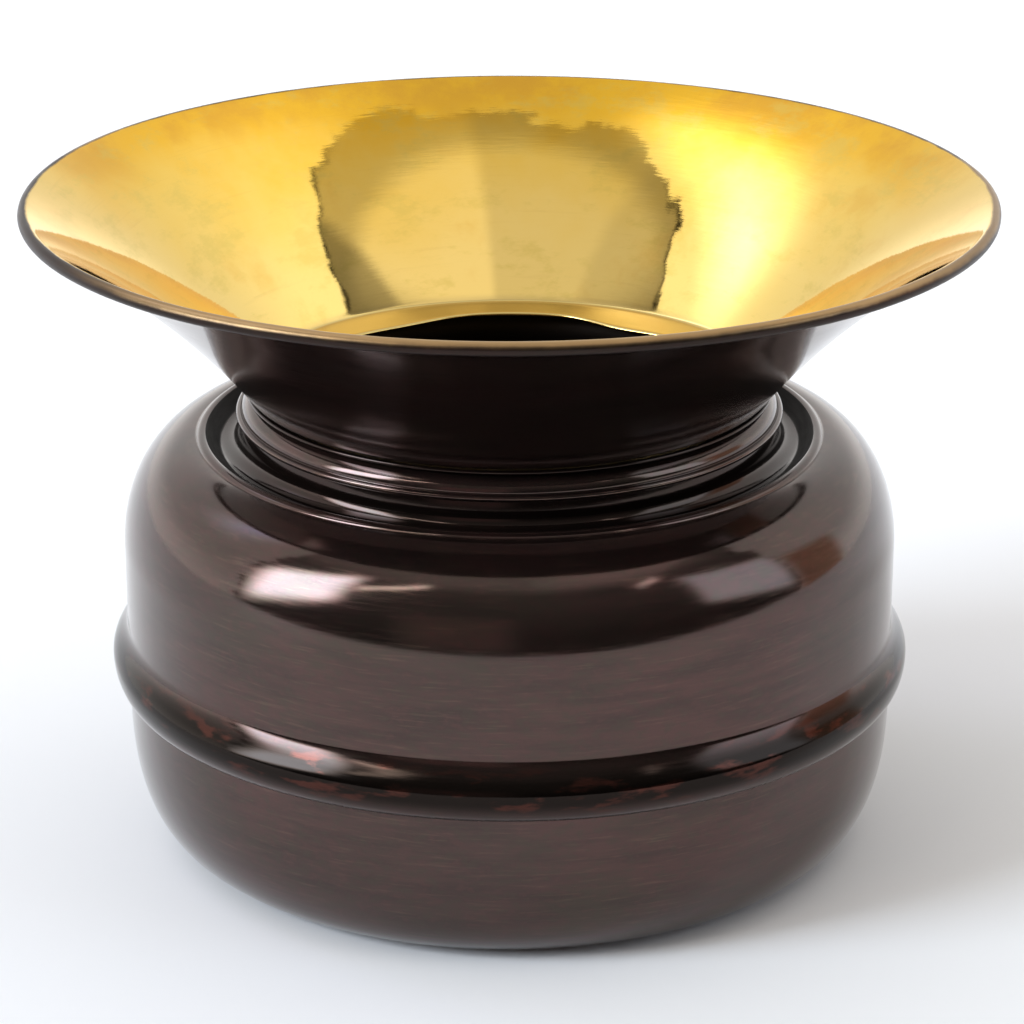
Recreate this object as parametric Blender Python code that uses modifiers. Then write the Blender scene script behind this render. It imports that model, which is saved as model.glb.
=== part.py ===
"""A brass pot in two halves that lift apart.

The mouth is a wide flared funnel with a wired edge.  It stands loose in the
neck of a squat pot, held from sliding sideways by a sleeve under its floor.
The pot is two spun shells, lapped and brazed together behind a bead round the
belly, with a turned collar brazed into the neck for the mouth to stand on.

Metres, +Z up.  The origin is on the axis, at the foot.  Every outline is
(radius, height above the foot), and runs down the outer side of its piece.
"""

import math

import bpy

MM = 0.001

FACETS = 40
CLEARANCE = 0.3 * MM

# Mouth
RIM_RADIUS = 114.5 * MM
RIM_HEIGHT = 156.8 * MM
CURL_RADIUS = 1.6 * MM
RIM_WIRE_RADIUS = 0.5 * MM
FLARE_SLOPE_AT_RIM = math.radians(32.0)
MOUTH_WALL = 0.8 * MM
FLOOR_RADIUS = 61.8 * MM
FLOOR_HEIGHT = 112.7 * MM
THROAT_RADIUS = 50.4 * MM
THROAT_RISE = 0.5 * MM

# Ring under the mouth's floor, with the sleeve that locates it in the neck
RING_RADIUS = 62.6 * MM
RING_THICKNESS = 0.8 * MM
RING_CHAMFER = 0.2 * MM
SLEEVE_RADIUS = 55.7 * MM
SLEEVE_WALL = 1.0 * MM
SLEEVE_FOOT = 103.2 * MM

# Collar in the neck
COLLAR_BORE = 56.2 * MM
SEAT_RADIUS = 59.0 * MM
COLLAR_RADIUS = 63.8 * MM
COLLAR_SHOULDER = 106.7 * MM
FILLET_HEIGHT = 105.9 * MM
FILLET_RADIUS = 0.8 * MM
FILLET_REACH = 65.2 * MM
COLLAR_UNDERSIDE = 104.0 * MM
SKIRT_RADIUS = 62.6 * MM
SKIRT_BORE = 60.8 * MM
SKIRT_FOOT = 100.0 * MM

# Upper shell
SHELL_WALL = 0.9 * MM
BELLY_RADIUS = 92.7 * MM
NECK_RADIUS = 63.9 * MM
NECK_TOP = 104.7 * MM
COVE_RADIUS = 3.5 * MM
SHOULDER_HEIGHT = 74.3 * MM
SHOULDER_REACH = 17.9 * MM
SHOULDER_RISE = 25.9 * MM
RIDGE_ANGLE = math.radians(96.0)
RIDGE_RADIUS = 1.2 * MM
RIDGE_FALL = math.radians(28.0)
BEAD_HEIGHT = 46.6 * MM
BEAD_SWELL = 3.7 * MM
BEAD_RISE = 8.4 * MM
BEAD_DROP = 6.5 * MM

# Lower bowl
BOWL_RADIUS = 92.6 * MM
BOWL_ROUNDNESS = 2.85
UPSTAND_RADIUS = 91.4 * MM
UPSTAND_TOP = 57.5 * MM
JOGGLE_TOP = 43.5 * MM
JOGGLE_FOOT = 41.9 * MM
FOOT_RADIUS = 69.0 * MM
DISH_RADIUS = 52.0 * MM
DISH_DEPTH = 1.5 * MM
DISH_SLOPE = 2.0 * MM

# Brazing inside the pot
BELLY_BRAZE_RADIUS = 0.9 * MM
NECK_BRAZE_RADIUS = 0.7 * MM
NECK_BRAZE_REACH = 62.4 * MM
NECK_BRAZE_HEIGHT = 98.9 * MM

PATINA = (0.055, 0.036, 0.032)
DARK_PATINA = (0.040, 0.030, 0.029)
GOLD = (0.78, 0.50, 0.10)
RAW_BRASS = (0.62, 0.45, 0.16)


def clear_scene():
    for old in list(bpy.data.objects):
        bpy.data.objects.remove(old, do_unlink=True)


def new_collection(name):
    collection = bpy.data.collections.new(name)
    bpy.context.scene.collection.children.link(collection)
    return collection


def metal(name, colour, roughness):
    material = bpy.data.materials.new(name)
    material.use_nodes = True
    shader = material.node_tree.nodes["Principled BSDF"]
    shader.inputs["Base Color"].default_value = (*colour, 1.0)
    shader.inputs["Metallic"].default_value = 1.0
    shader.inputs["Roughness"].default_value = roughness
    material.diffuse_color = (*colour, 1.0)
    return material


def oval_arc(centre, reach, rise, start, end, steps):
    """Points from one angle to another on an ellipse, both ends included."""
    points = []
    for step in range(steps + 1):
        angle = start + (end - start) * step / steps
        points.append((centre[0] + reach * math.cos(angle), centre[1] + rise * math.sin(angle)))
    return points


def round_arc(centre, radius, start, end, steps):
    return oval_arc(centre, radius, radius, start, end, steps)


def flare(start, end, end_slope, steps):
    """The circular arc between two points that reaches the second at a given slope."""
    across = end[0] - start[0]
    up = end[1] - start[1]
    bend = math.atan2(up, across) - end_slope
    radius = math.hypot(across, up) / (2 * math.sin(bend))
    centre = (end[0] + radius * math.sin(end_slope), end[1] - radius * math.cos(end_slope))
    last = end_slope + math.pi / 2
    return round_arc(centre, radius, last + 2 * bend, last, steps)


def turned(name, outline, material, origin, parent=None, closed=False, wall=0.0):
    """A piece of revolution: a closed section, or one face of a sheet of the given wall."""
    mesh = bpy.data.meshes.new(name)
    vertices = [(radius, 0.0, height - origin) for radius, height in outline]
    edges = [(index, index + 1) for index in range(len(outline) - 1)]
    if closed:
        edges.append((len(outline) - 1, 0))
    mesh.from_pydata(vertices, edges, [])
    mesh.materials.append(material)
    piece = bpy.data.objects.new(name, mesh)
    POT.objects.link(piece)
    spin = piece.modifiers.new("Turned", "SCREW")
    spin.axis = "Z"
    spin.steps = FACETS
    spin.render_steps = FACETS
    spin.use_merge_vertices = True
    spin.merge_threshold = 0.00001
    spin.use_smooth_shade = True
    if wall:
        sheet = piece.modifiers.new("Sheet", "SOLIDIFY")
        sheet.thickness = wall
        sheet.offset = -1.0
        sheet.use_even_offset = True
        sheet.use_quality_normals = True
    place(piece, origin, parent)
    return piece


def hoop(name, ring_radius, height, thickness, sides, material, parent=None):
    """A ring of round section, such as a wire or a run of brazing."""
    bpy.ops.mesh.primitive_torus_add(
        major_radius=ring_radius,
        minor_radius=thickness,
        major_segments=FACETS,
        minor_segments=sides,
    )
    piece = bpy.context.object
    piece.name = name
    piece.data.name = name
    piece.data.materials.append(material)
    piece.data.shade_smooth()
    for collection in list(piece.users_collection):
        collection.objects.unlink(piece)
    POT.objects.link(piece)
    place(piece, height, parent)
    return piece


def place(piece, height, parent):
    if parent:
        piece.parent = parent
        piece.location.z = height - parent.location.z
    else:
        piece.location.z = height


def mouth_outline():
    """The polished face of the mouth: floor, flare, and the curl round the wire."""
    curl_centre = (RIM_RADIUS - CURL_RADIUS, RIM_HEIGHT)
    curl_start = FLARE_SLOPE_AT_RIM + math.pi / 2
    curl_end = math.radians(-160.0)
    curl = round_arc(curl_centre, CURL_RADIUS, curl_start, curl_end, 11)
    foot_of_flare = (FLOOR_RADIUS, FLOOR_HEIGHT)
    sweep = flare(foot_of_flare, curl[0], FLARE_SLOPE_AT_RIM, 6)
    return [(THROAT_RADIUS, FLOOR_HEIGHT + THROAT_RISE)] + sweep + curl[1:]


def ring_outline():
    """The ring under the floor, and the sleeve that hangs from it into the neck."""
    top = FLOOR_HEIGHT - MOUTH_WALL - CLEARANCE
    underside = top - RING_THICKNESS
    bore = SLEEVE_RADIUS - SLEEVE_WALL
    return [
        (bore, top),
        (RING_RADIUS - RING_CHAMFER, top),
        (RING_RADIUS, top - RING_CHAMFER),
        (RING_RADIUS, underside + RING_CHAMFER),
        (RING_RADIUS - RING_CHAMFER, underside),
        (SLEEVE_RADIUS, underside),
        (SLEEVE_RADIUS, SLEEVE_FOOT),
        (bore, SLEEVE_FOOT),
    ]


def seat_height():
    return FLOOR_HEIGHT - MOUTH_WALL - CLEARANCE - RING_THICKNESS - CLEARANCE


def collar_outline():
    """Flat seat, rounded shoulder, a fine fillet below it, and a skirt inside the neck."""
    seat = seat_height()
    rounding = oval_arc(
        (SEAT_RADIUS, COLLAR_SHOULDER),
        COLLAR_RADIUS - SEAT_RADIUS,
        seat - COLLAR_SHOULDER,
        math.pi / 2,
        0.0,
        5,
    )
    fillet_centre = (FILLET_REACH - FILLET_RADIUS, FILLET_HEIGHT)
    leaves_wall = math.acos((COLLAR_RADIUS - fillet_centre[0]) / FILLET_RADIUS)
    fillet = round_arc(fillet_centre, FILLET_RADIUS, leaves_wall, -math.pi / 2, 6)
    return [
        (COLLAR_BORE, seat),
        *rounding,
        *fillet,
        (SKIRT_RADIUS, FILLET_HEIGHT - FILLET_RADIUS),
        (SKIRT_RADIUS, SKIRT_FOOT),
        (SKIRT_BORE, SKIRT_FOOT),
        (SKIRT_BORE, COLLAR_UNDERSIDE),
        (COLLAR_BORE, COLLAR_UNDERSIDE),
    ]


def shell_outline():
    """Neck, cove, ridge, shoulder, upright belly and the bead that hides the seam."""
    shoulder_centre = (BELLY_RADIUS - SHOULDER_REACH, SHOULDER_HEIGHT)
    shoulder = oval_arc(shoulder_centre, SHOULDER_REACH, SHOULDER_RISE, RIDGE_ANGLE, 0.0, 10)
    crest = shoulder[0]
    level = math.atan(SHOULDER_RISE / SHOULDER_REACH / -math.tan(RIDGE_ANGLE))
    ridge_centre = (
        crest[0] + RIDGE_RADIUS * math.sin(level),
        crest[1] - RIDGE_RADIUS * math.cos(level),
    )
    ridge = round_arc(ridge_centre, RIDGE_RADIUS, RIDGE_FALL + math.pi / 2, level + math.pi / 2, 2)
    cove_centre_radius = NECK_RADIUS + COVE_RADIUS
    cove_end_radius = cove_centre_radius + COVE_RADIUS * math.sin(RIDGE_FALL)
    cove_end_height = ridge[0][1] - (ridge[0][0] - cove_end_radius) * math.tan(RIDGE_FALL)
    cove_centre = (cove_centre_radius, cove_end_height + COVE_RADIUS * math.cos(RIDGE_FALL))
    cove = round_arc(cove_centre, COVE_RADIUS, -math.pi, RIDGE_FALL - math.pi / 2, 5)
    swell = []
    for step in range(6):
        share = step / 5
        swell.append(
            (
                BELLY_RADIUS + BEAD_SWELL * (1 - math.cos(math.pi * share)) / 2,
                BEAD_HEIGHT + BEAD_RISE * (1 - share),
            )
        )
    tuck_centre = (BOWL_RADIUS + CLEARANCE + 0.1 * MM, BEAD_HEIGHT)
    tuck_reach = BELLY_RADIUS + BEAD_SWELL - tuck_centre[0]
    tuck = oval_arc(tuck_centre, tuck_reach, BEAD_DROP, 0.0, -math.pi / 2, 5)
    return [(NECK_RADIUS, NECK_TOP)] + cove + ridge + shoulder[1:] + swell + tuck[1:]


def bowl_outline():
    """An upstand that laps inside the shell, a joggle out, and the round-bottomed bowl."""
    rim = BEAD_HEIGHT - BEAD_DROP
    bend = BOWL_RADIUS - FOOT_RADIUS
    points = [
        (UPSTAND_RADIUS, UPSTAND_TOP),
        (UPSTAND_RADIUS, JOGGLE_TOP),
        (BOWL_RADIUS, JOGGLE_FOOT),
    ]
    steps = 12
    for step in range(steps + 1):
        angle = math.pi / 2 * step / steps
        out = max(math.cos(angle), 0.0) ** (2 / BOWL_ROUNDNESS)
        down = math.sin(angle) ** (2 / BOWL_ROUNDNESS)
        points.append((FOOT_RADIUS + bend * out, rim * (1 - down)))
    points.append((DISH_RADIUS, 0.0))
    points.append((DISH_RADIUS - DISH_SLOPE, DISH_DEPTH))
    points.append((0.0, DISH_DEPTH))
    return points


def build_mouth():
    """The three pieces that lift off together ride on one empty at the seat."""
    lift = bpy.data.objects.new("mouth_lift", None)
    lift.location.z = seat_height()
    POT.objects.link(lift)
    polished = metal("polished_brass", GOLD, 0.16)
    ring_metal = metal("ring_patina", DARK_PATINA, 0.28)
    wire_metal = metal("wire_brass", RAW_BRASS, 0.35)
    turned("funnel", mouth_outline(), polished, FLOOR_HEIGHT, lift, wall=MOUTH_WALL)
    turned("throat_ring", ring_outline(), ring_metal, seat_height(), lift, closed=True)
    wire_ring_radius = RIM_RADIUS - CURL_RADIUS
    hoop("rim_wire", wire_ring_radius, RIM_HEIGHT, RIM_WIRE_RADIUS, 6, wire_metal, lift)


def build_pot():
    collar_metal = metal("collar_patina", DARK_PATINA, 0.22)
    shell_metal = metal("shell_patina", PATINA, 0.26)
    bowl_metal = metal("bowl_patina", PATINA, 0.32)
    belly_metal = metal("belly_braze_metal", RAW_BRASS, 0.5)
    neck_metal = metal("neck_braze_metal", RAW_BRASS, 0.5)
    turned("neck_collar", collar_outline(), collar_metal, seat_height(), closed=True)
    turned("upper_shell", shell_outline(), shell_metal, SHOULDER_HEIGHT, wall=SHELL_WALL)
    turned("lower_bowl", bowl_outline(), bowl_metal, 0.0, wall=SHELL_WALL)
    belly_ring = BELLY_RADIUS - SHELL_WALL - CLEARANCE - BELLY_BRAZE_RADIUS
    belly_height = UPSTAND_TOP + CLEARANCE + BELLY_BRAZE_RADIUS
    hoop("belly_braze", belly_ring, belly_height, BELLY_BRAZE_RADIUS, 6, belly_metal)
    hoop("neck_braze", NECK_BRAZE_REACH, NECK_BRAZE_HEIGHT, NECK_BRAZE_RADIUS, 6, neck_metal)


clear_scene()
POT = new_collection("flared_brass_pot")
build_mouth()
build_pot()
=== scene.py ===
"""The flared brass pot as it looks: gold inside the mouth, dark brown patina everywhere else.

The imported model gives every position.  Each piece is turned again here with a fine outline and
small hand-made irregularities, and rides on the body of the node that it stands for.
"""

import math

import bmesh
import bpy
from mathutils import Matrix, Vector, noise


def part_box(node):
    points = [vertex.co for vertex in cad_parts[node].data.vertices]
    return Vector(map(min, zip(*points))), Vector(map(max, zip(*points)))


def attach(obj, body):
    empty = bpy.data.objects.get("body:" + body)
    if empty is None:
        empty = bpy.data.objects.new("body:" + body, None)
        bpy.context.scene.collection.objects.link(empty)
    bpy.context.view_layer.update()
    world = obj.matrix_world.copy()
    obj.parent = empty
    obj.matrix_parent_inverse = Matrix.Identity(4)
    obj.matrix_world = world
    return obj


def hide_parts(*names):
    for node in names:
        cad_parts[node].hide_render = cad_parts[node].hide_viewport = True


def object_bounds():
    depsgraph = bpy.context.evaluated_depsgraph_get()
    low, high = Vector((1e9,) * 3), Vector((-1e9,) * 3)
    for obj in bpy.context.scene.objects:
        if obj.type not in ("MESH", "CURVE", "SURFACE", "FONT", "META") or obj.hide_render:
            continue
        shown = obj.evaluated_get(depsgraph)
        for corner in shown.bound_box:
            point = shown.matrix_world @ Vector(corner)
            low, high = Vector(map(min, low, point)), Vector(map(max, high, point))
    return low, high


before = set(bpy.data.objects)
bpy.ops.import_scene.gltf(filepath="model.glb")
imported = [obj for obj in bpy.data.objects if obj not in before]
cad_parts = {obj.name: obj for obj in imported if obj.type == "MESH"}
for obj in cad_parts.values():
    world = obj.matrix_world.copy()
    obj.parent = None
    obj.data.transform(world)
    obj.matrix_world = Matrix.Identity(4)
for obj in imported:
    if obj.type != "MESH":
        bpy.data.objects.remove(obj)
CAD_LOW, CAD_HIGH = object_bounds()

MM = 0.001
SEGMENTS = 256

# ---------------------------------------------------------------- sizes, from the frame

funnel_low, funnel_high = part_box("funnel")
ring_low, ring_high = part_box("throat_ring")
collar_low, collar_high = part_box("neck_collar")
shell_low, shell_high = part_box("upper_shell")
bowl_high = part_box("lower_bowl")[1]
wire_low, wire_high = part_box("rim_wire")

RIM_RADIUS = funnel_high.x
CURL_RADIUS = 1.6 * MM
RIM_HEIGHT = (wire_low.z + wire_high.z) / 2
WIRE_RADIUS = 0.5 * MM
MOUTH_WALL = 0.8 * MM
FLOOR_HEIGHT = funnel_low.z + MOUTH_WALL
FLOOR_RADIUS = 61.8 * MM
THROAT_RADIUS = 50.4 * MM
THROAT_RISE = 0.5 * MM
FLARE_SLOPE_AT_RIM = math.radians(32.0)

RING_RADIUS = ring_high.x
RING_TOP = ring_high.z
RING_THICKNESS = 0.8 * MM
SLEEVE_RADIUS = 55.7 * MM
SLEEVE_WALL = 1.0 * MM
SLEEVE_FOOT = ring_low.z

SEAT_HEIGHT = collar_high.z
FILLET_REACH = collar_high.x
FILLET_RADIUS = 0.8 * MM
FILLET_HEIGHT = 105.9 * MM
COLLAR_BORE = 56.2 * MM
SEAT_RADIUS = 59.0 * MM
COLLAR_RADIUS = 63.8 * MM
COLLAR_SHOULDER = 106.7 * MM
COLLAR_UNDERSIDE = 104.0 * MM
SKIRT_RADIUS = 62.6 * MM
SKIRT_BORE = 60.8 * MM
SKIRT_FOOT = collar_low.z

SHELL_WALL = 0.9 * MM
NECK_TOP = shell_high.z
NECK_RADIUS = 63.9 * MM
COVE_RADIUS = 3.5 * MM
BEAD_SWELL = 3.7 * MM
BELLY_RADIUS = shell_high.x - BEAD_SWELL
SHOULDER_HEIGHT = 74.3 * MM
SHOULDER_REACH = 17.9 * MM
SHOULDER_RISE = 25.9 * MM
RIDGE_RADIUS = 1.6 * MM
RIDGE_FOOT = math.radians(20.0)
RIDGE_FALL = math.radians(38.0)
BEAD_DROP = 6.5 * MM
BEAD_HEIGHT = shell_low.z + BEAD_DROP
BEAD_RISE = 8.4 * MM
TUCK_RADIUS = 93.0 * MM

BOWL_RADIUS = bowl_high.x
BOWL_ROUNDNESS = 2.85
UPSTAND_RADIUS = 91.4 * MM
UPSTAND_TOP = bowl_high.z
JOGGLE_TOP = 43.5 * MM
JOGGLE_FOOT = 41.9 * MM
FOOT_RADIUS = 69.0 * MM
DISH_RADIUS = 52.0 * MM
DISH_DEPTH = 1.5 * MM
DISH_SLOPE = 2.0 * MM


# ---------------------------------------------------------------- outlines


def oval_arc(centre, reach, rise, start, end, steps):
    """Points from one angle to another on an ellipse, both ends included."""
    points = []
    for step in range(steps + 1):
        angle = start + (end - start) * step / steps
        points.append((centre[0] + reach * math.cos(angle), centre[1] + rise * math.sin(angle)))
    return points


def round_arc(centre, radius, start, end, steps):
    return oval_arc(centre, radius, radius, start, end, steps)


def straight(start, end, steps):
    """Evenly spaced points between two points, without the two."""
    points = []
    for step in range(1, steps):
        share = step / steps
        across = start[0] + (end[0] - start[0]) * share
        up = start[1] + (end[1] - start[1]) * share
        points.append((across, up))
    return points


def flare(start, end, end_slope, steps):
    """The circular arc between two points that reaches the second at a given slope."""
    across = end[0] - start[0]
    up = end[1] - start[1]
    bend = math.atan2(up, across) - end_slope
    radius = math.hypot(across, up) / (2 * math.sin(bend))
    centre = (end[0] + radius * math.sin(end_slope), end[1] - radius * math.cos(end_slope))
    last = end_slope + math.pi / 2
    return round_arc(centre, radius, last + 2 * bend, last, steps)


def softened(outline, corner, radius, steps=5):
    """The outline with one corner replaced by a small round."""
    before, point, after = (Vector(outline[corner + shift]) for shift in (-1, 0, 1))
    first = point + (before - point).normalized() * radius
    last = point + (after - point).normalized() * radius
    rounded = []
    for step in range(steps + 1):
        share = step / steps
        rounded.append(tuple(first.lerp(point, share).lerp(point.lerp(last, share), share)))
    return outline[:corner] + rounded + outline[corner + 1 :]


def offset(outline, distance):
    """The outline moved towards its inner side, corner by corner."""
    moved = []
    for index, point in enumerate(outline):
        before = Vector(outline[max(index - 1, 0)])
        after = Vector(outline[min(index + 1, len(outline) - 1)])
        here = Vector(point)
        into = (here - before).normalized() if index else (after - here).normalized()
        out = (after - here).normalized() if index + 1 < len(outline) else into
        normals = [Vector((-line.y, line.x)) for line in (into, out)]
        middle = (normals[0] + normals[1]).normalized()
        stretch = 1 / max(middle.dot(normals[0]), 0.5)
        moved.append(tuple(here - middle * distance * stretch))
    return moved


def sheet(outline, wall, rounding=4):
    """A closed section: the outline, a round edge, the far face of the sheet and a round edge back."""
    inner = offset(outline, wall)
    section = list(outline)
    for face, near, far in ((outline, outline[-1], inner[-1]), (inner, inner[0], outline[0])):
        middle = (Vector(near) + Vector(far)) / 2
        radial = Vector(near) - middle
        along = Vector((radial.y, -radial.x))
        if near is inner[0]:
            section += inner[::-1]
        for step in range(1, rounding):
            angle = math.pi * step / rounding
            section.append(tuple(middle + radial * math.cos(angle) + along * math.sin(angle) * 0.9))
    return section


def mouth_outline():
    """The polished face of the mouth: floor, flare, and the curl round the wire."""
    curl_centre = (RIM_RADIUS - CURL_RADIUS, RIM_HEIGHT)
    curl_start = FLARE_SLOPE_AT_RIM + math.pi / 2
    curl = round_arc(curl_centre, CURL_RADIUS, curl_start, math.radians(-160.0), 36)
    foot_of_flare = (FLOOR_RADIUS, FLOOR_HEIGHT)
    throat_edge = (THROAT_RADIUS, FLOOR_HEIGHT + THROAT_RISE)
    floor = [throat_edge] + straight(throat_edge, foot_of_flare, 12)
    sweep = flare(foot_of_flare, curl[0], FLARE_SLOPE_AT_RIM, 70)
    outline = floor + sweep + curl[1:]
    return softened(outline, len(floor), 0.7 * MM)


def ring_outline():
    """The ring under the floor, and the sleeve that hangs from it into the neck."""
    underside = RING_TOP - RING_THICKNESS
    bore = SLEEVE_RADIUS - SLEEVE_WALL
    edge_centre = (RING_RADIUS - RING_THICKNESS / 2, RING_TOP - RING_THICKNESS / 2)
    edge = round_arc(edge_centre, RING_THICKNESS / 2, math.pi / 2, -math.pi / 2, 10)
    foot = [(SLEEVE_RADIUS, SLEEVE_FOOT), (bore, SLEEVE_FOOT)]
    return [(bore, RING_TOP)] + edge + [(SLEEVE_RADIUS, underside)] + foot


def collar_outline():
    """Flat seat, rounded shoulder, a fine fillet below it, and a skirt inside the neck."""
    rounding = oval_arc(
        (SEAT_RADIUS, COLLAR_SHOULDER),
        COLLAR_RADIUS - SEAT_RADIUS,
        SEAT_HEIGHT - COLLAR_SHOULDER,
        math.pi / 2,
        0.0,
        20,
    )
    fillet_centre = (FILLET_REACH - FILLET_RADIUS, FILLET_HEIGHT)
    leaves_wall = math.acos((COLLAR_RADIUS - fillet_centre[0]) / FILLET_RADIUS)
    fillet = round_arc(fillet_centre, FILLET_RADIUS, leaves_wall, -math.pi / 2, 18)
    return [
        (COLLAR_BORE, SEAT_HEIGHT),
        *rounding,
        *fillet,
        (SKIRT_RADIUS, FILLET_HEIGHT - FILLET_RADIUS),
        (SKIRT_RADIUS, SKIRT_FOOT),
        (SKIRT_BORE, SKIRT_FOOT),
        (SKIRT_BORE, COLLAR_UNDERSIDE),
        (COLLAR_BORE, COLLAR_UNDERSIDE),
    ]


def shell_outline():
    """Neck, cove, ridge, shoulder, upright belly and the bead that hides the seam."""
    shoulder_centre = (BELLY_RADIUS - SHOULDER_REACH, SHOULDER_HEIGHT)
    shoulder = oval_arc(shoulder_centre, SHOULDER_REACH, SHOULDER_RISE, math.pi / 2, 0.0, 56)
    crest = shoulder[0]
    ridge_centre = (
        crest[0] - RIDGE_RADIUS * math.cos(RIDGE_FOOT),
        crest[1] - RIDGE_RADIUS * math.sin(RIDGE_FOOT),
    )
    ridge = round_arc(ridge_centre, RIDGE_RADIUS, RIDGE_FALL + math.pi / 2, RIDGE_FOOT, 14)
    cove_centre_radius = NECK_RADIUS + COVE_RADIUS
    cove_end_radius = cove_centre_radius + COVE_RADIUS * math.sin(RIDGE_FALL)
    cove_end_height = ridge[0][1] - (ridge[0][0] - cove_end_radius) * math.tan(RIDGE_FALL)
    cove_centre = (cove_centre_radius, cove_end_height + COVE_RADIUS * math.cos(RIDGE_FALL))
    cove = round_arc(cove_centre, COVE_RADIUS, -math.pi, RIDGE_FALL - math.pi / 2, 18)
    swell = []
    swell_steps = 18
    for step in range(swell_steps + 1):
        share = step / swell_steps
        swell.append(
            (
                BELLY_RADIUS + BEAD_SWELL * (1 - math.cos(math.pi * share)) / 2,
                BEAD_HEIGHT + BEAD_RISE * (1 - share),
            )
        )
    tuck_reach = BELLY_RADIUS + BEAD_SWELL - TUCK_RADIUS
    tuck = oval_arc((TUCK_RADIUS, BEAD_HEIGHT), tuck_reach, BEAD_DROP, 0.0, -math.pi / 2, 18)
    slope = straight(cove[-1], ridge[0], 6)
    wall = straight(shoulder[-1], swell[0], 14)
    return [(NECK_RADIUS, NECK_TOP)] + cove + slope + ridge + shoulder[1:] + wall + swell + tuck[1:]


def bowl_outline():
    """An upstand that laps inside the shell, a joggle out, and the round-bottomed bowl."""
    rim = BEAD_HEIGHT - BEAD_DROP
    bend = BOWL_RADIUS - FOOT_RADIUS
    top = (UPSTAND_RADIUS, UPSTAND_TOP)
    joggle = (UPSTAND_RADIUS, JOGGLE_TOP)
    points = [top] + straight(top, joggle, 4) + [joggle, (BOWL_RADIUS, JOGGLE_FOOT)]
    steps = 72
    for step in range(steps + 1):
        angle = math.pi / 2 * step / steps
        out = max(math.cos(angle), 0.0) ** (2 / BOWL_ROUNDNESS)
        down = math.sin(angle) ** (2 / BOWL_ROUNDNESS)
        points.append((FOOT_RADIUS + bend * out, rim * (1 - down)))
    edge = (DISH_RADIUS, 0.0)
    dish = (DISH_RADIUS - DISH_SLOPE, DISH_DEPTH)
    points += straight(points[-1], edge, 6) + [edge, dish] + straight(dish, (0.0, DISH_DEPTH), 20)
    points.append((0.0, DISH_DEPTH))
    return points


def sheet_to_axis(outline, wall, rounding=4):
    """The same for a sheet that closes on the axis, where its two faces meet nothing."""
    inner = offset(outline, wall)
    inner[-1] = (0.0, inner[-1][1])
    middle = (Vector(outline[0]) + Vector(inner[0])) / 2
    radial = Vector(inner[0]) - middle
    along = Vector((radial.y, -radial.x))
    edge = []
    for step in range(1, rounding):
        angle = math.pi * step / rounding
        edge.append(tuple(middle + radial * math.cos(angle) + along * math.sin(angle) * 0.9))
    return list(outline) + inner[::-1] + edge


# ---------------------------------------------------------------- turning


def revolve(name, section, polish=None):
    """A closed piece from a closed section; polish gives each of its points a share of gold."""
    shape = bmesh.new()
    gilt = shape.verts.layers.float.new("polish")
    rings = []
    for index, (radius, height) in enumerate(section):
        count = SEGMENTS if radius > 1e-6 else 1
        ring = []
        for segment in range(count):
            angle = 2 * math.pi * segment / SEGMENTS
            vertex = shape.verts.new((radius * math.cos(angle), radius * math.sin(angle), height))
            vertex[gilt] = polish[index] if polish else 0.0
            ring.append(vertex)
        rings.append(ring)
    for index, ring in enumerate(rings):
        following = rings[(index + 1) % len(rings)]
        if len(ring) == 1 and len(following) == 1:
            continue
        for segment in range(SEGMENTS):
            after = (segment + 1) % SEGMENTS
            corners = []
            around = ((ring, segment), (following, segment), (following, after), (ring, after))
            for here, place in around:
                corner = here[place % len(here)]
                if corner not in corners:
                    corners.append(corner)
            shape.faces.new(corners)
    bmesh.ops.recalc_face_normals(shape, faces=shape.faces)
    mesh = bpy.data.meshes.new(name)
    shape.to_mesh(mesh)
    shape.free()
    mesh.shade_smooth()
    piece = bpy.data.objects.new(name, mesh)
    bpy.context.scene.collection.objects.link(piece)
    return piece


def handmade(piece, ripple):
    """Small dents, the same for every piece at one place, and rings left by the spinning tool."""
    for vertex in piece.data.vertices:
        outward = Vector((vertex.co.x, vertex.co.y, 0.0))
        if outward.length < 1 * MM:
            continue
        outward.normalize()
        dent = noise.noise(vertex.co / DENT_SIZE) * DENT_DEPTH
        rings = outward * RIPPLE_TURNS + Vector((0.0, 0.0, vertex.co.z / RIPPLE_PITCH))
        vertex.co += outward * (dent + noise.noise(rings) * ripple)
    piece.data.update()


# ---------------------------------------------------------------- shader helpers


def put(tree, kind, inputs=None, **settings):
    """A new node, with its settings, and with each named input linked or set."""
    made = tree.nodes.new(kind)
    for key, value in settings.items():
        setattr(made, key, value)
    for key, value in (inputs or {}).items():
        socket = made.inputs[key]
        if isinstance(value, bpy.types.NodeSocket):
            tree.links.new(value, socket)
        else:
            socket.default_value = value
    return made


def maths(tree, operation, first, second=0.0, clamp=False):
    made = put(tree, "ShaderNodeMath", {0: first, 1: second}, operation=operation, use_clamp=clamp)
    return made.outputs[0]


def plus(tree, first, second, clamp=False):
    return maths(tree, "ADD", first, second, clamp)


def minus(tree, first, second):
    return maths(tree, "SUBTRACT", first, second)


def times(tree, first, second, clamp=False):
    return maths(tree, "MULTIPLY", first, second, clamp)


def larger(tree, first, second):
    return maths(tree, "MAXIMUM", first, second)


def size_of(tree, value):
    return maths(tree, "ABSOLUTE", value)


def the_rest(tree, share):
    return minus(tree, 1.0, share)


def blend(tree, share, first, second):
    """One number turning into another."""
    return put(tree, "ShaderNodeMix", {0: share, 2: first, 3: second}).outputs[0]


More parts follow.
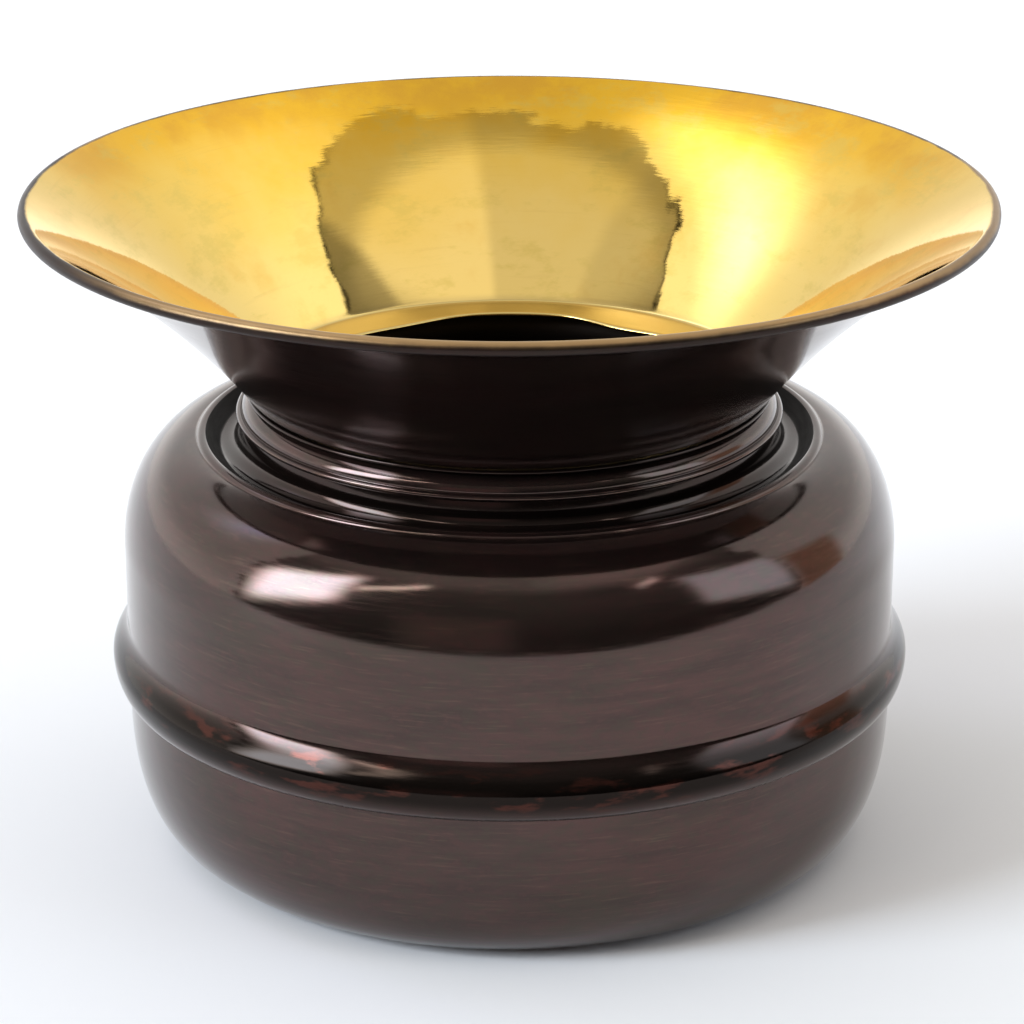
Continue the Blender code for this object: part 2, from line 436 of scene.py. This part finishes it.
def spread(tree, value, low, high, out_low=0.0, out_high=1.0):
    """Value, eased from one range to another and held at the ends."""
    inputs = {
        "Value": value,
        "From Min": low,
        "From Max": high,
        "To Min": out_low,
        "To Max": out_high,
    }
    eased = put(tree, "ShaderNodeMapRange", inputs, interpolation_type="SMOOTHSTEP")
    return eased.outputs["Result"]


def mixed(tree, share, first, second):
    """One colour turning into another."""
    made = tree.nodes.new("ShaderNodeMix")
    made.data_type = "RGBA"
    for index, value in ((0, share), (6, first), (7, second)):
        if isinstance(value, bpy.types.NodeSocket):
            tree.links.new(value, made.inputs[index])
        elif index:
            made.inputs[index].default_value = (*value, 1.0)
        else:
            made.inputs[index].default_value = value
    return made.outputs[2]


def grain(tree, place, scale, detail=4.0, roughness=0.55):
    inputs = {"Vector": place, "Scale": scale, "Detail": detail, "Roughness": roughness}
    return put(tree, "ShaderNodeTexNoise", inputs).outputs["Fac"]


def stretched(tree, place, scale):
    return put(tree, "ShaderNodeVectorMath", {0: place, 1: scale}, operation="MULTIPLY").outputs[0]


def turned_places(tree):
    """The place in metres, the radius, the height, and a unit direction round the axis."""
    place = put(tree, "ShaderNodeTexCoord").outputs["Object"]
    split = put(tree, "ShaderNodeSeparateXYZ", {0: place})
    flat = put(tree, "ShaderNodeCombineXYZ", {0: split.outputs[0], 1: split.outputs[1]}).outputs[0]
    radius = put(tree, "ShaderNodeVectorMath", {0: flat}, operation="LENGTH").outputs["Value"]
    around = put(tree, "ShaderNodeVectorMath", {0: flat}, operation="NORMALIZE").outputs[0]
    return place, radius, split.outputs[2], around


def turning_marks(tree, around, along, rings_per_metre, round_count):
    """Noise drawn out round the axis, as a tool leaves it: fine across, long around."""
    turns = put(tree, "ShaderNodeSeparateXYZ", {0: around})
    x = times(tree, turns.outputs[0], round_count)
    y = times(tree, turns.outputs[1], round_count)
    z = times(tree, along, rings_per_metre)
    drawn = put(tree, "ShaderNodeCombineXYZ", {0: x, 1: y, 2: z}).outputs[0]
    return grain(tree, drawn, 1.0, 5.0, 0.6)


def new_material(name):
    material = bpy.data.materials.new(name)
    material.use_nodes = True
    tree = material.node_tree
    tree.nodes.clear()
    shader = tree.nodes.new("ShaderNodeBsdfPrincipled")
    output = tree.nodes.new("ShaderNodeOutputMaterial")
    tree.links.new(shader.outputs[0], output.inputs["Surface"])
    return material, tree, shader


def bumped(tree, layers):
    """A normal from (height, strength, depth in metres) layers, one on top of another."""
    normal = None
    for height, strength, depth in layers:
        inputs = {"Height": height, "Strength": strength, "Distance": depth}
        if normal:
            inputs["Normal"] = normal
        normal = put(tree, "ShaderNodeBump", inputs).outputs["Normal"]
    return normal


def wire(tree, shader, sockets):
    for key, value in sockets.items():
        if isinstance(value, bpy.types.NodeSocket):
            tree.links.new(value, shader.inputs[key])
        else:
            shader.inputs[key].default_value = value


# ---------------------------------------------------------------- metals

BROWN = (0.067, 0.041, 0.035)
RED_BROWN = (0.082, 0.042, 0.037)
OLIVE_BROWN = (0.058, 0.045, 0.033)
NEAR_BLACK = (0.040, 0.027, 0.024)
# near black: painted shade inside the pot, in recesses and round the bead, and the dark patina on the
# curl
INSIDE = (0.014, 0.010, 0.008)
COPPER = (0.085, 0.028, 0.020)
WORN = (0.26, 0.16, 0.11)
GOLD = (0.90, 0.60, 0.115)
PALE_GOLD = (0.94, 0.69, 0.22)
DEEP_GOLD = (0.88, 0.49, 0.030)
AMBER = (0.74, 0.39, 0.045)
OLIVE_GOLD = (0.70, 0.53, 0.12)
DULL_GOLD = (0.58, 0.44, 0.18)
TARNISH = (0.45, 0.27, 0.07)
# the lip: worn patina, and a painted highlight on its front
LIP_WEAR_AND_HIGHLIGHT = (0.46, 0.29, 0.13)
RAW = (0.60, 0.42, 0.16)
PATINA_COAT = 0.35
PATINA_METAL = 0.88
UNPOLISHED_ROUGHNESS = 0.50
# painted shade: how far a recess is darkened towards black
RECESS_SHADE = 0.65
# painted shade: how far the darker band round the bead reaches
SHADE_BAND_REACH = (8 * MM, 2 * MM)
# shares of polish: where the gold ends, where the lip's wear and painted highlight end, where the curl
# begins
GILT_FADE = (0.67, 0.77)
LIP_FADE = (0.34, 0.56)
CURL_FADE = (0.04, 0.12)
EDGE_FRAY = 0.16


def patina_layers(tree, place, radius, height, around, wear):
    """Colour, roughness, coat roughness and bump layers of the brown patina."""
    cloud = grain(tree, place, 14.0, 4.0, 0.55)
    patch = grain(tree, stretched(tree, place, (1.0, 1.0, 1.6)), 30.0, 5.0, 0.6)
    brushing = turning_marks(tree, around, height, 1800.0, 9.0)
    broad_brushing = turning_marks(tree, around, height, 260.0, 3.0)
    colour = mixed(tree, spread(tree, cloud, 0.38, 0.64), BROWN, RED_BROWN)
    colour = mixed(tree, spread(tree, patch, 0.48, 0.72, 0.0, 0.8), colour, OLIVE_BROWN)
    colour = mixed(tree, spread(tree, broad_brushing, 0.62, 0.30, 0.0, 0.60), colour, NEAR_BLACK)
    specks = grain(tree, stretched(tree, place, (1.0, 1.0, 1.8)), 330.0, 4.0, 0.65)
    colour = mixed(tree, spread(tree, specks, 0.50, 0.62, 0.0, 0.5), colour, OLIVE_BROWN)
    colour = mixed(tree, spread(tree, specks, 0.48, 0.36, 0.0, 0.5), colour, RED_BROWN)
    colour = mixed(tree, spread(tree, brushing, 0.52, 0.78, 0.0, 0.18), colour, WORN)
    colour = mixed(tree, wear, colour, WORN)
    roughness = spread(tree, brushing, 0.30, 0.75, 0.09, 0.17)
    coat_roughness = spread(tree, patch, 0.35, 0.70, 0.04, 0.10)
    layers = [(broad_brushing, 0.07, 0.3 * MM), (brushing, 0.12, 0.05 * MM)]
    return colour, roughness, coat_roughness, layers


def facing_inwards(tree, around):
    """1 on the faces that look towards the axis, which no one ever polished and where the shade inside
    the pot falls.
    """
    normal = put(tree, "ShaderNodeTexCoord").outputs["Normal"]
    outwards = put(tree, "ShaderNodeVectorMath", {0: normal, 1: around}, operation="DOT_PRODUCT")
    return spread(tree, outwards.outputs["Value"], -0.35, -0.55)


def worn_edges(tree, place, value, edges):
    """Share of bare metal showing near some heights: (where, half width, strength) each."""
    breaks = spread(tree, grain(tree, place, 130.0, 6.0, 0.7), 0.42, 0.66)
    total = 0.0
    for where, half_width, strength in edges:
        away = size_of(tree, minus(tree, value, where))
        near = spread(tree, away, half_width, 0.0, 0.0, strength)
        total = larger(tree, total, near)
    return times(tree, total, breaks, clamp=True)


def patina(name, edges, shade_band_height=-1.0, shade_heights=(1.0, 2.0), shade_radii=(1.0, 0.0)):
    """Brown patina, worn at some heights, with painted shade: darker round one height, black in a
    recess.
    """
    material, tree, shader = new_material(name)
    place, radius, height, around = turned_places(tree)
    wear = worn_edges(tree, place, height, edges)
    # painted shade: a darker, uncoated band round one height dims the bead's reflections; real copper
    # streaks lie in it
    band_shade = spread(tree, size_of(tree, minus(tree, height, shade_band_height)), *SHADE_BAND_REACH)
    colour, roughness, coat_roughness, layers = patina_layers(
        tree, place, radius, height, around, wear
    )
    colour = mixed(tree, band_shade, colour, INSIDE)
    streaks = turning_marks(tree, around, height, 300.0, 8.0)
    copper = times(tree, band_shade, spread(tree, streaks, 0.52, 0.66, 0.0, 0.70))
    colour = mixed(tree, copper, colour, COPPER)
    # painted shade: the recess is darkened towards black, as shade falls there
    recess_shade = times(
        tree, spread(tree, height, *shade_heights), spread(tree, radius, *shade_radii)
    )
    recess_shade = times(tree, recess_shade, RECESS_SHADE)
    # faces towards the axis: rougher as unpolished, and near black as painted shade inside the pot
    dull = facing_inwards(tree, around)
    colour = mixed(tree, larger(tree, dull, recess_shade), colour, INSIDE)
    roughness = plus(tree, roughness, times(tree, dull, UNPOLISHED_ROUGHNESS))
    bare = larger(tree, larger(tree, dull, recess_shade), band_shade)
    lacquer = times(tree, the_rest(tree, bare), PATINA_COAT)
    wire(
        tree,
        shader,
        {
            "Base Color": colour,
            "Metallic": PATINA_METAL,
            "Roughness": roughness,
            "Coat Weight": lacquer,
            "Coat Roughness": coat_roughness,
            "Coat IOR": 1.5,
            "Normal": bumped(tree, layers),
        },
    )
    return material


def gilt_and_patina(name):
    """The mouth: polished inside, patina outside, one wearing into the other over the curled edge."""
    material, tree, shader = new_material(name)
    place, radius, height, around = turned_places(tree)
    polish = put(tree, "ShaderNodeAttribute", attribute_name="polish").outputs["Fac"]
    ragged = grain(tree, place, 90.0, 5.0, 0.65)
    edge = plus(tree, polish, times(tree, minus(tree, ragged, 0.5), EDGE_FRAY))
    gilt = spread(tree, edge, *GILT_FADE)

    cloud = grain(tree, place, 16.0, 5.0, 0.6)
    stain = grain(tree, stretched(tree, place, (1.0, 1.0, 0.6)), 42.0, 6.0, 0.62)
    rings = turning_marks(tree, around, radius, 900.0, 3.0)
    broad_rings = turning_marks(tree, around, radius, 140.0, 1.6)
    scratches = grain(tree, stretched(tree, place, (160.0, 1100.0, 420.0)), 1.0, 4.0, 0.6)
    cross = grain(tree, stretched(tree, place, (1000.0, 240.0, 380.0)), 1.0, 4.0, 0.6)
    uneven = plus(tree, radius, spread(tree, cloud, 0.25, 0.75, -9 * MM, 9 * MM))
    backwards = put(tree, "ShaderNodeSeparateXYZ", {0: around}).outputs[1]
    # painted sheen: paler gold towards the front and sides, without the deep gold and amber of the
    # back
    side_sheen = times(tree, spread(tree, backwards, 0.55, 0.05), 0.85)
    pale = larger(tree, spread(tree, uneven, 95 * MM, 66 * MM), side_sheen)
    colour = mixed(tree, pale, GOLD, PALE_GOLD)
    deep = spread(tree, uneven, 88 * MM, 104 * MM, 0.0, 0.9)
    deep = times(tree, deep, the_rest(tree, side_sheen))
    colour = mixed(tree, deep, colour, DEEP_GOLD)
    colour = mixed(tree, spread(tree, stain, 0.56, 0.76, 0.0, 0.35), colour, AMBER)
    near_rim = spread(tree, radius, RIM_RADIUS - 18 * MM, RIM_RADIUS - 3 * MM, 0.0, 0.85)
    near_rim = times(tree, near_rim, the_rest(tree, side_sheen))
    near_rim = times(tree, near_rim, spread(tree, stain, 0.42, 0.62))
    colour = mixed(tree, near_rim, colour, AMBER)
    colour = mixed(tree, spread(tree, rings, 0.56, 0.80, 0.0, 0.12), colour, TARNISH)
    wisps = grain(tree, stretched(tree, place, (60.0, 60.0, 140.0)), 1.0, 7.0, 0.7)
    colour = mixed(tree, spread(tree, wisps, 0.50, 0.66, 0.0, 0.45), colour, OLIVE_GOLD)
    seat = spread(tree, radius, FLOOR_RADIUS + 1.5 * MM, FLOOR_RADIUS - 0.5 * MM)
    colour = mixed(tree, times(tree, seat, 0.75), colour, DULL_GOLD)
    gold_roughness = spread(tree, cloud, 0.30, 0.70, 0.020, 0.050)
    gold_roughness = plus(tree, gold_roughness, times(tree, seat, 0.14))

    none = put(tree, "ShaderNodeValue")
    none.outputs[0].default_value = 0.0
    brown, brown_roughness, coat_roughness, layers = patina_layers(
        tree, place, radius, height, around, none.outputs[0]
    )
    # the lip: patchy wear, and a painted highlight that grows to full towards the front
    lip_wear_and_highlight = grain(tree, stretched(tree, place, (14.0, 14.0, 2.0)), 1.0, 3.0, 0.5)
    to_front = spread(tree, backwards, -0.45, -0.90)
    lip_wear_and_highlight = plus(tree, spread(tree, lip_wear_and_highlight, 0.50, 0.70, 0.0, 0.7), to_front, clamp=True)
    lip = times(tree, spread(tree, edge, *LIP_FADE, 0.0, 0.9), lip_wear_and_highlight)
    curl = spread(tree, edge, *CURL_FADE)
    brown = mixed(tree, times(tree, curl, 0.7), brown, INSIDE)
    brown = mixed(tree, lip, brown, LIP_WEAR_AND_HIGHLIGHT)
    brown_roughness = plus(tree, brown_roughness, times(tree, curl, 0.22))
    lacquer = times(tree, the_rest(tree, curl), PATINA_COAT)
    gold_layers = [
        (broad_rings, 0.07, 0.5 * MM),
        (rings, 0.05, 0.05 * MM),
        (scratches, 0.03, 0.04 * MM),
        (cross, 0.03, 0.04 * MM),
    ]
    wire(
        tree,
        shader,
        {
            "Base Color": mixed(tree, gilt, brown, colour),
            "Metallic": spread(tree, gilt, 0.0, 1.0, PATINA_METAL, 1.0),
            "Roughness": blend(tree, gilt, brown_roughness, gold_roughness),
            "Coat Weight": lacquer,
            "Coat Roughness": coat_roughness,
            "Normal": bumped(tree, gold_layers + layers[1:]),
        },
    )
    return material


def raw_brass(name):
    """Unfinished brass: wire and brazing."""
    material, tree, shader = new_material(name)
    place, radius, height, around = turned_places(tree)
    lumps = grain(tree, place, 260.0, 5.0, 0.6)
    colour = mixed(tree, spread(tree, lumps, 0.40, 0.68), RAW, TARNISH)
    wire(
        tree,
        shader,
        {
            "Base Color": colour,
            "Metallic": 1.0,
            "Roughness": spread(tree, lumps, 0.3, 0.7, 0.32, 0.55),
            "Normal": bumped(tree, [(lumps, 0.5, 0.3 * MM)]),
        },
    )
    return material


# ---------------------------------------------------------------- pieces

# bearing in degrees, half width in degrees, depth
THROAT_CUTS = (
    (55.0, 22.0, 3.4 * MM),
    (123.0, 26.0, 2.4 * MM),
    (178.0, 24.0, 1.6 * MM),
    (232.0, 20.0, 2.2 * MM),
    (290.0, 26.0, 1.4 * MM),
    (348.0, 24.0, 2.6 * MM),
)
LIP_TURN = math.radians(270.0)
DENT_SIZE = 40 * MM
DENT_DEPTH = 0.16 * MM
RIPPLE_TURNS = 2.5
RIPPLE_PITCH = 6 * MM
BODY_RIPPLE = 0.010 * MM
MOUTH_RIPPLE = 0.040 * MM


def finished(piece, material, node, body, ripple):
    handmade(piece, ripple)
    piece.data.materials.append(material)
    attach(piece, body)
    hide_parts(node)
    return piece


def polish_shares(outline, section):
    """Gold on the face that is seen from above, fading out as the curl turns over and down."""
    centre = Vector((RIM_RADIUS - CURL_RADIUS, RIM_HEIGHT))
    shares = []
    for index, point in enumerate(section):
        from_centre = Vector(point) - centre
        turned = math.atan2(from_centre.y, -from_centre.x) % (2 * math.pi)
        if index >= len(outline):
            share = 1.0 if point[0] < THROAT_RADIUS + 1 * MM else 0.0
        elif from_centre.length > CURL_RADIUS * 1.05:
            share = 1.0
        else:
            share = max(0.0, 1 - turned / LIP_TURN)
        shares.append(share)
    return shares


def cut_throat(mouth):
    """The throat is cut out by hand: straighter in places, where the metal reaches further in."""
    for vertex in mouth.data.vertices:
        radius = math.hypot(vertex.co.x, vertex.co.y)
        share = (FLOOR_RADIUS - radius) / (FLOOR_RADIUS - THROAT_RADIUS)
        if share <= 0 or vertex.co.z > FLOOR_HEIGHT + 2 * MM:
            continue
        bearing = math.degrees(math.atan2(vertex.co.y, vertex.co.x))
        reach = 0.0
        for middle, half_width, depth in THROAT_CUTS:
            away = abs((bearing - middle + 180) % 360 - 180) / half_width
            if away < 1:
                reach += depth * (1 + math.cos(math.pi * away)) / 2
        shrink = 1 - reach * share / radius
        vertex.co.x *= shrink
        vertex.co.y *= shrink


def make_mouth():
    outline = mouth_outline()
    section = sheet(outline, MOUTH_WALL)
    mouth = revolve("mouth", section, polish_shares(outline, section))
    cut_throat(mouth)
    metal = gilt_and_patina("mouth_metal")
    finished(mouth, metal, "funnel", "mouth", MOUTH_RIPPLE)

    foot_ring = revolve("foot_ring", ring_outline())
    # painted shade: the whole ring is darkened towards black, in the shade between the mouth and the
    # collar
    metal = patina("foot_ring_metal", [], -1.0, (0.0, MM), (1.0, RING_RADIUS + 1 * MM))
    finished(foot_ring, metal, "throat_ring", "mouth", BODY_RIPPLE)

    curl_centre = (RIM_RADIUS - CURL_RADIUS, RIM_HEIGHT)
    edge_wire = revolve("edge_wire", round_arc(curl_centre, WIRE_RADIUS, 2 * math.pi, 0.0, 20)[:-1])
    metal = raw_brass("edge_wire_metal")
    finished(edge_wire, metal, "rim_wire", "mouth", MOUTH_RIPPLE)


def make_pot():
    collar = revolve("collar", collar_outline())
    metal = patina("collar_metal", [(FILLET_HEIGHT, 0.7 * MM, 0.3), (SEAT_HEIGHT, 0.8 * MM, 0.15)])
    finished(collar, metal, "neck_collar", "pot", BODY_RIPPLE)

    shell = revolve("shell", sheet(shell_outline(), SHELL_WALL))
    ridge_height = SHOULDER_HEIGHT + SHOULDER_RISE
    # painted shade: a darker band round the bead, and the cove inside the ridge darkened towards black
    metal = patina(
        "shell_metal",
        [(ridge_height, 0.4 * MM, 0.15), (BEAD_HEIGHT, 3.0 * MM, 0.10)],
        BEAD_HEIGHT + 1 * MM,
        (SHOULDER_HEIGHT + 20 * MM, SHOULDER_HEIGHT + 22 * MM),
        (BELLY_RADIUS - SHOULDER_REACH - 2.0 * MM, BELLY_RADIUS - SHOULDER_REACH - 3.0 * MM),
    )
    finished(shell, metal, "upper_shell", "pot", BODY_RIPPLE)

    bowl = revolve("bowl", sheet_to_axis(bowl_outline(), SHELL_WALL))
    metal = patina("bowl_metal", [(0.0, 1.2 * MM, 0.9)])
    finished(bowl, metal, "lower_bowl", "pot", BODY_RIPPLE)

    for name, node in (("belly_run", "belly_braze"), ("neck_run", "neck_braze")):
        low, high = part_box(node)
        thickness = (high.z - low.z) / 2
        middle = (high.x - thickness, (low.z + high.z) / 2)
        run = revolve(name, round_arc(middle, thickness, 2 * math.pi, 0.0, 20)[:-1])
        finished(run, raw_brass(name + "_metal"), node, "pot", BODY_RIPPLE)


make_mouth()
make_pot()

# ---------------------------------------------------------------- floor, light and camera

FLOOR_REACH = 6.0
FLOOR_FRONT = 0.75
FLOOR_WHITE = 0.94
CAMERA_PITCH = math.radians(20.525)
CAMERA_BACK = 7.508
CAMERA_UP = 2.128
CAMERA_LENS = 133.6
CAMERA_SHIFT = 0.0024


def make_floor():
    """A pale table: it runs far behind the pot and ends not far in front of it."""
    shape = bmesh.new()
    corners = []
    for x, y in ((-1, 0), (1, 0), (1, 1), (-1, 1)):
        across = x * FLOOR_REACH
        along = FLOOR_REACH if y else -FLOOR_FRONT
        corners.append(shape.verts.new((across, along, 0.0)))
    shape.faces.new(corners)
    mesh = bpy.data.meshes.new("floor")
    shape.to_mesh(mesh)
    shape.free()
    floor = bpy.data.objects.new("floor", mesh)
    floor.location.z = CAD_LOW.z - 0.05 * MM
    bpy.context.scene.collection.objects.link(floor)
    material, tree, shader = new_material("floor_white")
    white = (FLOOR_WHITE, FLOOR_WHITE, FLOOR_WHITE, 1.0)
    wire(tree, shader, {"Base Color": white, "Roughness": 0.7, "Specular IOR Level": 0.2})
    floor.data.materials.append(material)


def window(tree, azimuth, elevation, middle, half_width, low, high, slant, softness):
    """1 inside a window of the room, 0 outside.  In degrees; azimuth 0 is in front, 90 right."""
    along = minus(tree, azimuth, middle)
    away = size_of(tree, along)
    elevation = minus(tree, elevation, times(tree, along, slant))
    across = spread(tree, away, half_width + softness, half_width - softness)
    above = spread(tree, elevation, low - softness, low + softness)
    below = spread(tree, elevation, high + softness, high - softness)
    return times(tree, across, times(tree, above, below))


# azimuth, half width, lowest and highest elevation in the middle, slant, softness, radiance, colour
WINDOWS = {
    "left": (-67.0, 13.0, 12.0, 37.0, 0.60, 5.0, 19.0, (0.74, 0.86, 1.0)),
    "left strip": (-40.0, 10.0, 39.0, 43.0, 0.65, 2.0, 9.0, (1.0, 0.90, 0.80)),
    "right": (75.0, 15.0, 9.0, 35.0, -0.35, 3.0, 2.8, (0.78, 0.88, 1.0)),
    "right strip": (50.0, 5.0, 41.0, 45.0, 0.5, 2.0, 4.0, (1.0, 0.90, 0.85)),
    "right warm": (103.0, 10.0, -6.0, 20.0, -0.4, 3.0, 0.8, (1.0, 0.60, 0.42)),
    "reddish wall": (-16.0, 15.0, -4.0, 22.0, 0.0, 7.0, 0.34, (1.0, 0.68, 0.66)),
    "high left": (-117.0, 9.0, 36.0, 66.0, 0.0, 12.0, 3.6, (0.62, 0.68, 1.0)),
}


def sweep_strength(tree, right, back, up):
    """The white sweep behind and over the pot, brighter to the sides and near the table."""
    overhead = spread(tree, size_of(tree, right), 0.10, 0.50, 0.78, 1.25)
    sweep = blend(tree, spread(tree, back, 0.20, 0.85), overhead, 0.92)
    return plus(tree, sweep, spread(tree, up, 0.30, 0.05, 0.0, 0.45))


def room_strength(tree, right, back, up, edge):
    """The room in front of the pot: dim walls, a lighter ceiling, and a dark trim at its edge."""
    ceiling = plus(tree, 0.75, spread(tree, right, 0.06, 0.12, 0.0, 0.22))
    ceiling = minus(tree, ceiling, spread(tree, right, 0.55, 0.61, 0.0, 0.50))
    ceiling = minus(tree, ceiling, spread(tree, right, -0.34, -0.42, 0.0, 0.12))
    ceiling = times(tree, ceiling, spread(tree, back, -0.10, 0.02, 1.0, 0.62))
    wall = spread(tree, up, 0.0, 0.75, 0.04, 0.22)
    room = blend(tree, spread(tree, up, 0.66, 0.84), wall, ceiling)
    trim = spread(tree, size_of(tree, edge), 0.028, 0.010, 1.0, 0.06)
    trimmed = times(tree, spread(tree, up, 0.93, 0.84), spread(tree, up, 0.55, 0.65))
    return times(tree, room, blend(tree, trimmed, 1.0, trim))


def make_surroundings():
    """A white sweep behind and over the pot, and a dim room with a few windows in front of it."""
    world = bpy.data.worlds.new("studio")
    bpy.context.scene.world = world
    world.use_nodes = True
    tree = world.node_tree
    tree.nodes.clear()
    direction = put(tree, "ShaderNodeTexCoord").outputs["Generated"]
    right, back, up = put(tree, "ShaderNodeSeparateXYZ", {0: direction}).outputs
    to_front = times(tree, back, -1.0)
    azimuth = times(tree, maths(tree, "ARCTAN2", right, to_front), 180 / math.pi)
    elevation = times(tree, maths(tree, "ARCSINE", up), 180 / math.pi)

    boundary = plus(tree, 0.065, spread(tree, right, 0.0, 0.35, 0.0, 0.12))
    boundary = minus(tree, boundary, spread(tree, up, 0.92, 0.68, 0.0, 0.15))
    ragged = grain(tree, direction, 9.0, 6.0, 0.6)
    boundary = plus(tree, boundary, spread(tree, ragged, 0.3, 0.7, -0.035, 0.035))
    edge = minus(tree, back, boundary)
    behind = spread(tree, edge, -0.006, 0.006)
    room = room_strength(tree, right, back, up, edge)
    strength = blend(tree, behind, room, sweep_strength(tree, right, back, up))
    colour = mixed(tree, behind, (1.0, 0.95, 0.90), (1.0, 0.99, 0.97))
    for middle, half_width, low, high, slant, softness, radiance, tint in WINDOWS.values():
        mask = window(tree, azimuth, elevation, middle, half_width, low, high, slant, softness)
        colour = mixed(tree, mask, colour, tint)
        strength = blend(tree, mask, strength, radiance)

    # the camera itself sees plain white
    seen = put(tree, "ShaderNodeLightPath").outputs["Is Camera Ray"]
    strength = blend(tree, seen, strength, 1.0)
    colour = mixed(tree, seen, colour, (1.0, 1.0, 1.0))
    background = put(tree, "ShaderNodeBackground", {"Color": colour, "Strength": strength})
    output = tree.nodes.new("ShaderNodeOutputWorld")
    tree.links.new(background.outputs[0], output.inputs["Surface"])


def make_camera():
    data = bpy.data.cameras.new("camera")
    data.lens = CAMERA_LENS
    data.sensor_width = 36.0
    data.shift_x = CAMERA_SHIFT
    camera = bpy.data.objects.new("camera", data)
    camera.location = (0.0, -CAMERA_BACK * RIM_RADIUS, RIM_HEIGHT + CAMERA_UP * RIM_RADIUS)
    camera.rotation_euler = (math.pi / 2 - CAMERA_PITCH, 0.0, 0.0)
    bpy.context.scene.collection.objects.link(camera)
    bpy.context.scene.camera = camera


make_floor()
make_surroundings()
make_camera()
bpy.context.scene.view_settings.view_transform = "Standard"
